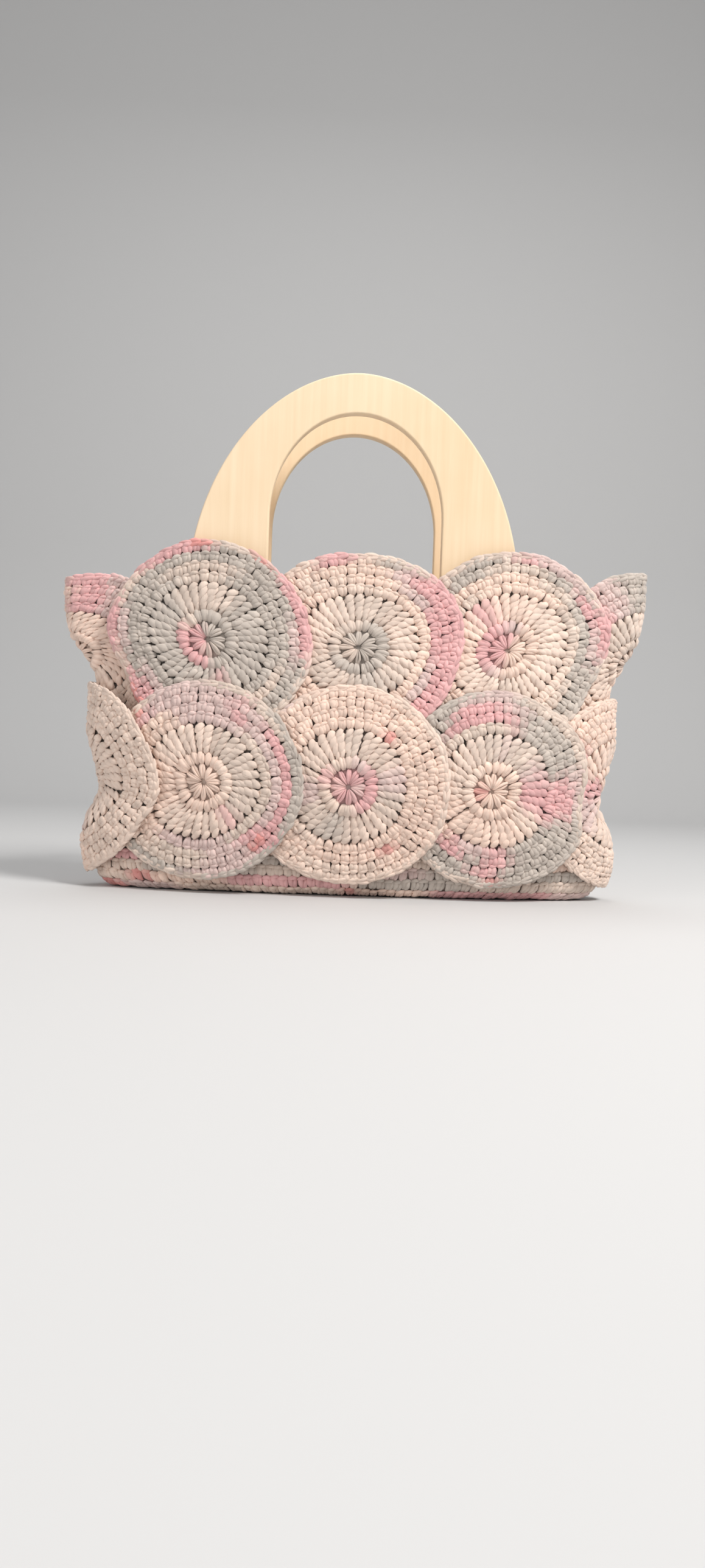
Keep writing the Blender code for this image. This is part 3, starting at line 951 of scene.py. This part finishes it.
def add_handle(name, material):
    """A flat wooden arch with rounded edges, as a loop of sections between its two outlines."""
    low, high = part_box(name)
    centre = np.array([0, -(CROWN_WIDTH + GRIP_ARCH_HEIGHT) + HANDLE_CENTRE_RISE])
    turns = np.arange(HANDLE_STATIONS) * 2 * math.pi / HANDLE_STATIONS
    outer = polar_outline(arch_outline(), centre, turns)
    inner = polar_outline(grip_outline(), centre, turns)
    radius = HANDLE_EDGE_RADIUS
    flat = HANDLE_THICKNESS / 2 - radius
    bend = np.linspace(0, math.pi / 2, EDGE_STEPS)
    loop = []  # which outline, distance from it, and depth, round one section
    for outside, sign in ((True, -1), (False, 1)):
        for side, turns_here in ((-sign, bend[::-1]), (sign, bend)):
            arc = []
            for t in turns_here:
                arc.append((sign * radius * (1 - math.cos(t)), side * (flat + radius * math.sin(t))))
            ease = (sign * (radius + EDGE_EASE), side * HANDLE_THICKNESS / 2)
            arc = [ease] + arc if side == -sign else arc + [ease]
            loop += [(outside, shift, depth) for shift, depth in arc]
    points, faces = [], []
    for station, turn in enumerate(turns):
        direction = np.array([math.cos(turn), math.sin(turn)])
        for outside, shift, depth in loop:
            reach = (outer if outside else inner)[station] + shift
            x, z = centre + direction * reach
            points.append((x, depth, z))
    size = len(loop)
    for station in range(HANDLE_STATIONS):
        after = (station + 1) % HANDLE_STATIONS
        for step in range(size):
            there = (step + 1) % size
            here, beside = station * size, after * size
            faces.append((here + step, beside + step, beside + there, here + there))
    mesh = bpy.data.meshes.new(name)
    shift = np.array([(low.x + high.x) / 2, (low.y + high.y) / 2, high.z])
    mesh.from_pydata([tuple(np.array(p) + shift) for p in points], [], faces)
    mesh.shade_smooth()
    mesh.materials.append(material)
    made = bpy.data.objects.new(name.replace("handle", "arch"), mesh)
    bpy.context.scene.collection.objects.link(made)
    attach(made, "root")
    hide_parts(name)
    return made


# Materials


def new_material(name):
    made = bpy.data.materials.new(name)
    made.use_nodes = True
    tree = made.node_tree
    return made, tree, tree.nodes["Principled BSDF"]


def node(tree, kind, **settings):
    made = tree.nodes.new(kind)
    for key, value in settings.items():
        if key in made.inputs:
            made.inputs[key].default_value = value
        else:
            setattr(made, key, value)
    return made


def mapped(tree, value, span, result):
    """A value mapped from one span onto another."""
    made = tree.nodes.new("ShaderNodeMapRange")
    for name, number in zip(("From Min", "From Max", "To Min", "To Max"), (*span, *result)):
        made.inputs[name].default_value = number
    tree.links.new(value, made.inputs["Value"])
    return made.outputs["Result"]


def yarn_material():
    made, tree, shader = new_material("variegated_yarn")
    link = tree.links.new
    shader.inputs["Roughness"].default_value = 0.88
    shader.inputs["Specular IOR Level"].default_value = 0.25
    shader.inputs["Sheen Weight"].default_value = 0.25
    shader.inputs["Sheen Roughness"].default_value = 0.5
    colour = node(tree, "ShaderNodeAttribute", attribute_name="yarn")
    place = node(tree, "ShaderNodeTexCoord")
    strand = node(tree, "ShaderNodeUVMap", uv_map="strand")
    stretch = node(tree, "ShaderNodeMapping")
    stretch.inputs["Scale"].default_value = (14, 2.2, 1)
    link(strand.outputs["UV"], stretch.inputs["Vector"])
    fibres = node(tree, "ShaderNodeTexNoise", Scale=2.0, Detail=3.0, Roughness=0.6)
    link(stretch.outputs["Vector"], fibres.inputs["Vector"])
    fuzz = node(tree, "ShaderNodeTexNoise", Scale=900.0, Detail=4.0, Roughness=0.65)
    link(place.outputs["Object"], fuzz.inputs["Vector"])
    blotch = node(tree, "ShaderNodeTexNoise", Scale=160.0, Detail=2.0, Roughness=0.5)
    link(place.outputs["Object"], blotch.inputs["Vector"])
    both = node(tree, "ShaderNodeMath", operation="MULTIPLY")
    link(mapped(tree, blotch.outputs["Fac"], (0.3, 0.7), (0.90, 1.08)), both.inputs[0])
    link(mapped(tree, fibres.outputs["Fac"], (0.25, 0.75), (0.93, 1.05)), both.inputs[1])
    tint = node(tree, "ShaderNodeVectorMath", operation="SCALE")
    link(colour.outputs["Color"], tint.inputs[0])
    link(both.outputs["Value"], tint.inputs["Scale"])
    link(tint.outputs["Vector"], shader.inputs["Base Color"])
    fine = node(tree, "ShaderNodeBump", Strength=0.6, Distance=0.0004)
    link(fibres.outputs["Fac"], fine.inputs["Height"])
    soft = node(tree, "ShaderNodeBump", Strength=0.30, Distance=0.0004)
    link(fuzz.outputs["Fac"], soft.inputs["Height"])
    link(fine.outputs["Normal"], soft.inputs["Normal"])
    link(soft.outputs["Normal"], shader.inputs["Normal"])
    return made


def wood_material():
    made, tree, shader = new_material("pale_wood")
    link = tree.links.new
    shader.inputs["Specular IOR Level"].default_value = 0.4
    place = node(tree, "ShaderNodeTexCoord")
    stretch = node(tree, "ShaderNodeMapping")
    stretch.inputs["Scale"].default_value = (260, 260, 9)
    link(place.outputs["Object"], stretch.inputs["Vector"])
    grain = node(tree, "ShaderNodeTexNoise", Scale=1.0, Detail=5.0, Roughness=0.6)
    link(stretch.outputs["Vector"], grain.inputs["Vector"])
    cloud = node(tree, "ShaderNodeTexNoise", Scale=14.0, Detail=3.0, Roughness=0.5)
    link(place.outputs["Object"], cloud.inputs["Vector"])
    total = node(tree, "ShaderNodeMath", operation="ADD")
    link(grain.outputs["Fac"], total.inputs[0])
    link(cloud.outputs["Fac"], total.inputs[1])
    ramp = node(tree, "ShaderNodeValToRGB")
    ramp.color_ramp.elements[0].position = 0.30
    ramp.color_ramp.elements[0].color = (*linear((0.925, 0.815, 0.665)), 1)
    ramp.color_ramp.elements[1].position = 0.70
    ramp.color_ramp.elements[1].color = (*linear((0.975, 0.885, 0.760)), 1)
    half = node(tree, "ShaderNodeMath", operation="MULTIPLY")
    half.inputs[1].default_value = 0.5
    link(total.outputs["Value"], half.inputs[0])
    link(half.outputs["Value"], ramp.inputs["Fac"])
    link(ramp.outputs["Color"], shader.inputs["Base Color"])
    link(mapped(tree, grain.outputs["Fac"], (0, 1), (0.48, 0.66)), shader.inputs["Roughness"])
    bump = node(tree, "ShaderNodeBump", Strength=0.12, Distance=0.0002)
    link(grain.outputs["Fac"], bump.inputs["Height"])
    link(bump.outputs["Normal"], shader.inputs["Normal"])
    return made


def stage_material():
    made, tree, shader = new_material("pale_floor")
    shader.inputs["Base Color"].default_value = (0.60, 0.60, 0.60, 1)
    shader.inputs["Roughness"].default_value = 0.8
    return made


# Stage, light and camera

PHOTO_HEIGHT = 2576  # pixels
FOCAL_PIXELS = 1950
SENSOR = 36.0
CAMERA_DISTANCE = 0.817
CAMERA_HEIGHT = 0.095
CAMERA_YAW = math.radians(2.0)
CAMERA_ROLL = math.radians(2.0)
VIEW_MIDDLE = (-0.001, -0.05, 0.076)  # the point of the front that the picture's middle shows


def add_stage(material):
    """A pale floor that sweeps up into a backdrop."""
    half, back, bend, top = 4.0, 1.6, 0.5, 3.0
    profile = [(-4.0, 0.0), (0.0, 0.0), (back - bend, 0.0)]
    for step in range(1, 13):
        turn = step / 12 * math.pi / 2
        profile.append((back - bend + bend * math.sin(turn), bend * (1 - math.cos(turn))))
    profile.append((back, top))
    points = [(side * half, y, z) for y, z in profile for side in (-1, 1)]
    faces = [(2 * i, 2 * i + 1, 2 * i + 3, 2 * i + 2) for i in range(len(profile) - 1)]
    mesh = bpy.data.meshes.new("floor")
    mesh.from_pydata(points, [], faces)
    mesh.shade_smooth()
    mesh.materials.append(material)
    made = bpy.data.objects.new("floor", mesh)
    bpy.context.scene.collection.objects.link(made)


def add_light(name, place, target, size, power, colour=(1, 1, 1)):
    data = bpy.data.lights.new(name, "AREA")
    data.shape = "DISK"
    data.size = size
    data.energy = power
    data.color = colour
    made = bpy.data.objects.new(name, data)
    made.location = place
    made.rotation_euler = aim(place, target)
    bpy.context.scene.collection.objects.link(made)


def aim(place, target):
    return (Vector(target) - Vector(place)).to_track_quat("-Z", "Y").to_euler()


def add_lights():
    middle = (0, 0, 0.15)
    add_light("key", (0.75, -0.75, 1.4), middle, 0.5, 26, (1.0, 0.975, 0.95))
    add_light("fill", (-1.2, -1.1, 0.7), middle, 1.2, 6, (1.0, 0.985, 0.97))
    add_light("top", (0.0, 0.4, 1.7), middle, 1.0, 8)
    world = bpy.data.worlds.new("studio")
    world.use_nodes = True
    world.node_tree.nodes["Background"].inputs["Color"].default_value = (1, 1, 1, 1)
    world.node_tree.nodes["Background"].inputs["Strength"].default_value = 0.34
    bpy.context.scene.world = world


def add_camera():
    data = bpy.data.cameras.new("camera")
    data.sensor_width = SENSOR
    data.sensor_fit = "AUTO"
    data.lens = FOCAL_PIXELS / PHOTO_HEIGHT * SENSOR
    made = bpy.data.objects.new("camera", data)
    target = Vector(VIEW_MIDDLE)
    reach = CAMERA_DISTANCE + VIEW_MIDDLE[1]
    place = target + Vector((-math.sin(CAMERA_YAW), -math.cos(CAMERA_YAW), 0)) * reach
    place.z = CAMERA_HEIGHT
    turned = (target - place).to_track_quat("-Z", "Y").to_matrix()
    made.rotation_euler = (turned @ Matrix.Rotation(CAMERA_ROLL, 3, "Z")).to_euler()
    made.location = place
    bpy.context.scene.collection.objects.link(made)
    bpy.context.scene.camera = made


add_camera()
add_lights()
add_stage(stage_material())
wall = Wall()
yarn_look = yarn_material()
for number, circle in enumerate(circles()):
    add_circle(circle, 100 + number, yarn_look)
add_base(yarn_look)
wood_look = wood_material()
for handle in ("handle_front", "handle_back"):
    add_handle(handle, wood_look)

bpy.context.scene.view_settings.view_transform = "Standard"
